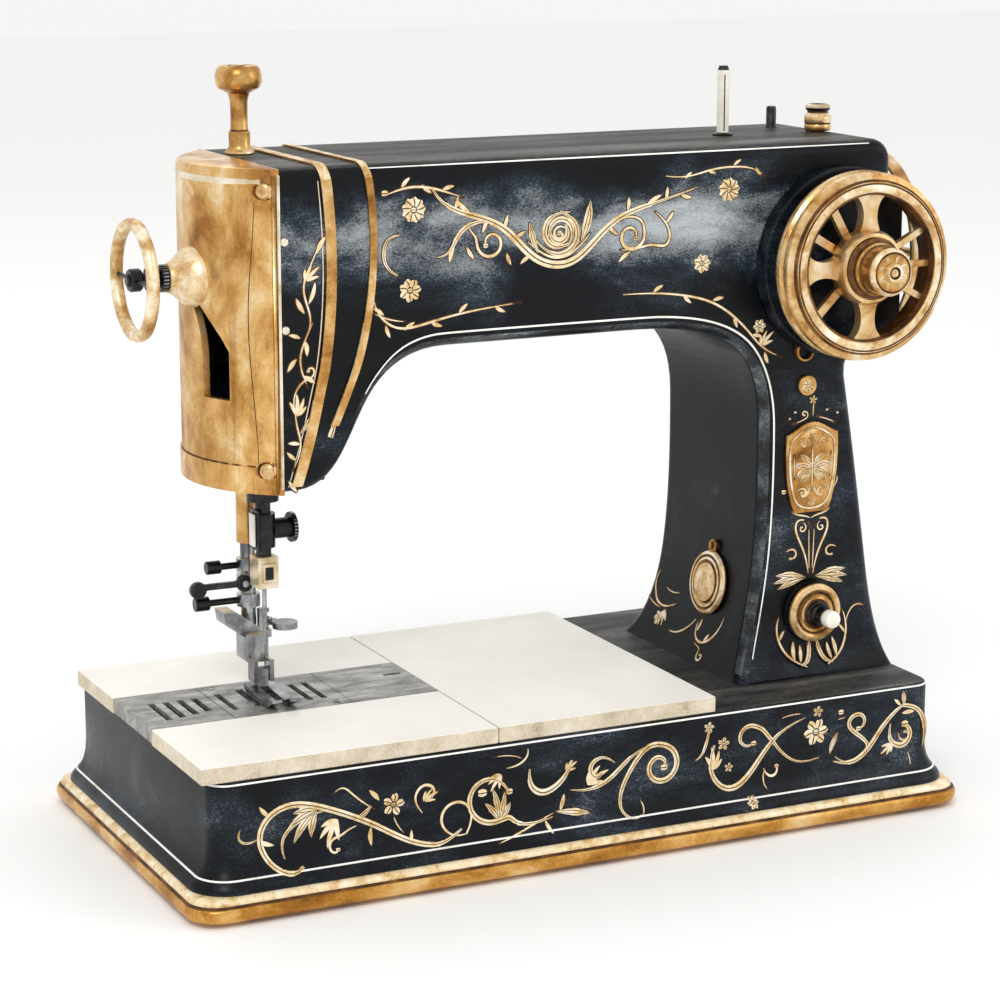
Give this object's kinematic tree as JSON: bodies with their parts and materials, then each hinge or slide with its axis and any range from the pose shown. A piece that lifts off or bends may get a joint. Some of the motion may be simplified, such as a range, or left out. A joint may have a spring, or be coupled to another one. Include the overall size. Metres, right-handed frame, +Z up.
{
  "type": "sewing machine",
  "caption": "Free-standing domestic sewing machine with a hollow arm on a plinth, a front hand wheel, geared shafts, a needle bar, a presser foot and a rotary hook.",
  "frame": {"origin": "bottom centre of the base, on the surface that the feet stand on", "axes": "+X along the arm from the head towards the wheels, -Y towards the person sewing, +Z up"},
  "size_m": [0.4052, 0.212, 0.3626],
  "materials": {
    "black_enamel": "glossy stoved enamel",
    "gilt_moulding": "gilt, rubbed on its edges",
    "gilt_brass": "aged, lightly mottled",
    "cream_enamel": "satin",
    "worn_steel": "worn and mottled",
    "dark_steel": "blackened",
    "bright_steel": "ground",
    "gear_steel": "oiled",
    "bush_bronze": "turned",
    "nickel": "polished nickel",
    "foot_rubber": "matt",
    "ivory": "smooth"
  },
  "bodies": {
    "frame": {"plinth_moulding": "gilt_moulding", "base_casting": "black_enamel", "bottom_cover": "dark_steel", "rubber_feet": "foot_rubber", "base_screws": "dark_steel", "bed_plate_right": "cream_enamel", "bed_plate_front": "cream_enamel", "bed_plate_rear": "cream_enamel", "needle_plate": "worn_steel", "needle_plate_screws": "worn_steel", "bed_cover_plate": "worn_steel", "arm_casting": "black_enamel", "rear_cover_plate": "gilt_brass", "trim_band_front": "gilt_moulding", "trim_band_rear": "gilt_moulding", "face_plate": "gilt_brass", "cover_screws": "gilt_brass", "tension_boss": "gilt_brass", "bar_guides": "dark_steel", "shaft_bushes": "bush_bronze", "medallion": "gilt_brass", "front_badges": "gilt_brass", "spool_pins": "ivory"},
    "slide_plate": {"slide_plate": "worn_steel"},
    "feed": {"feed_dog": "bright_steel"},
    "tension": {"tension_stem": "dark_steel", "tension_ring": "gilt_brass"},
    "take_up": {"take_up_lever": "bright_steel"},
    "needle_bar": {"needle_bar": "dark_steel", "needle_link": "bright_steel", "needle_clamp": "gilt_brass", "needle_clamp_screw": "dark_steel", "needle": "bright_steel"},
    "presser_bar": {"presser_bar": "bright_steel", "presser_spring": "bright_steel", "presser_foot_holder": "bright_steel", "presser_thumb_screws": "dark_steel"},
    "lifter": {"presser_lifter": "dark_steel"},
    "foot": {"presser_foot": "bright_steel"},
    "release_lever": {"foot_release_lever": "bright_steel"},
    "regulator": {"pressure_regulator": "gilt_brass"},
    "hand_wheel": {"hand_wheel": "gilt_brass", "clutch_nut": "gilt_brass", "clutch_screw": "gilt_brass", "hand_wheel_shaft": "bright_steel", "hand_wheel_gear": "gear_steel"},
    "arm_shaft": {"arm_shaft": "bright_steel", "arm_shaft_gears": "gear_steel", "balance_wheel": "gilt_brass", "balance_wheel_nut": "gilt_brass"},
    "upright_shaft": {"upright_shaft": "bright_steel", "upright_shaft_gears": "gear_steel"},
    "lower_shaft": {"lower_shaft": "bright_steel", "lower_shaft_gear": "gear_steel", "rotary_hook": "bright_steel"},
    "bobbin": {"bobbin": "bright_steel"},
    "stitch_dial": {"stitch_dial": "gilt_brass"},
    "reverse_button": {"reverse_button": "ivory"},
    "bobbin_winder": {"bobbin_winder_cup": "gilt_brass", "bobbin_winder_cap": "nickel"}
  },
  "joints": [
    {"name": "hand_wheel_spin", "type": "hinge", "parent": "frame", "child": "hand_wheel", "pos_m": [0.153, -0.07, 0.265], "axis": [0, -1, 0], "continuous": true},
    {"name": "arm_shaft_spin", "type": "hinge", "parent": "frame", "child": "arm_shaft", "pos_m": [0, 0, 0.265], "axis": [1, 0, 0], "continuous": true},
    {"name": "upright_shaft_spin", "type": "hinge", "parent": "frame", "child": "upright_shaft", "pos_m": [0.126, 0, 0.15], "axis": [0, 0, 1], "continuous": true},
    {"name": "lower_shaft_spin", "type": "hinge", "parent": "frame", "child": "lower_shaft", "pos_m": [0, 0, 0.038], "axis": [1, 0, 0], "continuous": true},
    {"name": "bobbin_spin", "type": "hinge", "parent": "frame", "child": "bobbin", "pos_m": [-0.117, 0, 0.038], "axis": [1, 0, 0], "continuous": true},
    {"name": "needle_bar_stroke", "type": "slide", "parent": "frame", "child": "needle_bar", "axis": [0, 0, -1], "range_m": [0, 0.03]},
    {"name": "take_up_swing", "type": "hinge", "parent": "frame", "child": "take_up", "pos_m": [-0.145, 0.034, 0.228], "axis": [1, 0, 0], "range_deg": [-12, 12]},
    {"name": "presser_bar_lift", "type": "slide", "parent": "frame", "child": "presser_bar", "axis": [0, 0, 1], "range_m": [0, 0.006], "stiffness_N_per_m": 400, "springref_m": -0.008, "deforming": ["presser_spring"]},
    {"name": "lifter_turn", "type": "hinge", "parent": "presser_bar", "child": "lifter", "pos_m": [-0.13, 0.0129, 0.122], "axis": [0, 1, 0], "range_deg": [0, 70]},
    {"name": "presser_foot_tilt", "type": "hinge", "parent": "presser_bar", "child": "foot", "pos_m": [-0.125, 0.005, 0.08], "axis": [-1, 0, 0], "range_deg": [0, 10]},
    {"name": "release_lever_turn", "type": "hinge", "parent": "presser_bar", "child": "release_lever", "pos_m": [-0.117, 0.02, 0.1005], "axis": [0, 0, 1], "range_deg": [0, 60]},
    {"name": "pressure_regulator_turn", "type": "hinge", "parent": "frame", "child": "regulator", "pos_m": [-0.125, 0.021, 0.34], "axis": [0, 0, 1], "range_deg": [-180, 180]},
    {"name": "tension_ring_turn", "type": "hinge", "parent": "frame", "child": "tension", "pos_m": [-0.17, -0.006, 0.271], "axis": [1, 0, 0], "continuous": true},
    {"name": "feed_dog_stroke", "type": "slide", "parent": "frame", "child": "feed", "axis": [0, 1, 0], "range_m": [-0.002, 0.002]},
    {"name": "slide_plate_pull", "type": "slide", "parent": "frame", "child": "slide_plate", "axis": [-1, 0, 0], "range_m": [0, 0.035]},
    {"name": "stitch_dial_turn", "type": "hinge", "parent": "frame", "child": "stitch_dial", "pos_m": [0.143, -0.053, 0.092], "axis": [0, -1, 0], "range_deg": [-135, 135]},
    {"name": "reverse_button_press", "type": "slide", "parent": "stitch_dial", "child": "reverse_button", "axis": [0, 1, 0], "range_m": [0, 0.003], "stiffness_N_per_m": 300, "springref_m": -0.002},
    {"name": "bobbin_winder_spin", "type": "hinge", "parent": "frame", "child": "bobbin_winder", "pos_m": [0.171, 0, 0.33], "axis": [0, 0, 1], "continuous": true}
  ],
  "couplings": [
    {"joint": "arm_shaft_spin", "follows": "hand_wheel_spin", "ratio": 1},
    {"joint": "upright_shaft_spin", "follows": "hand_wheel_spin", "ratio": -1},
    {"joint": "lower_shaft_spin", "follows": "hand_wheel_spin", "ratio": -1},
    {"joint": "lifter_turn", "follows": "presser_bar_lift", "rad_per_m": 203.6}
  ]
}
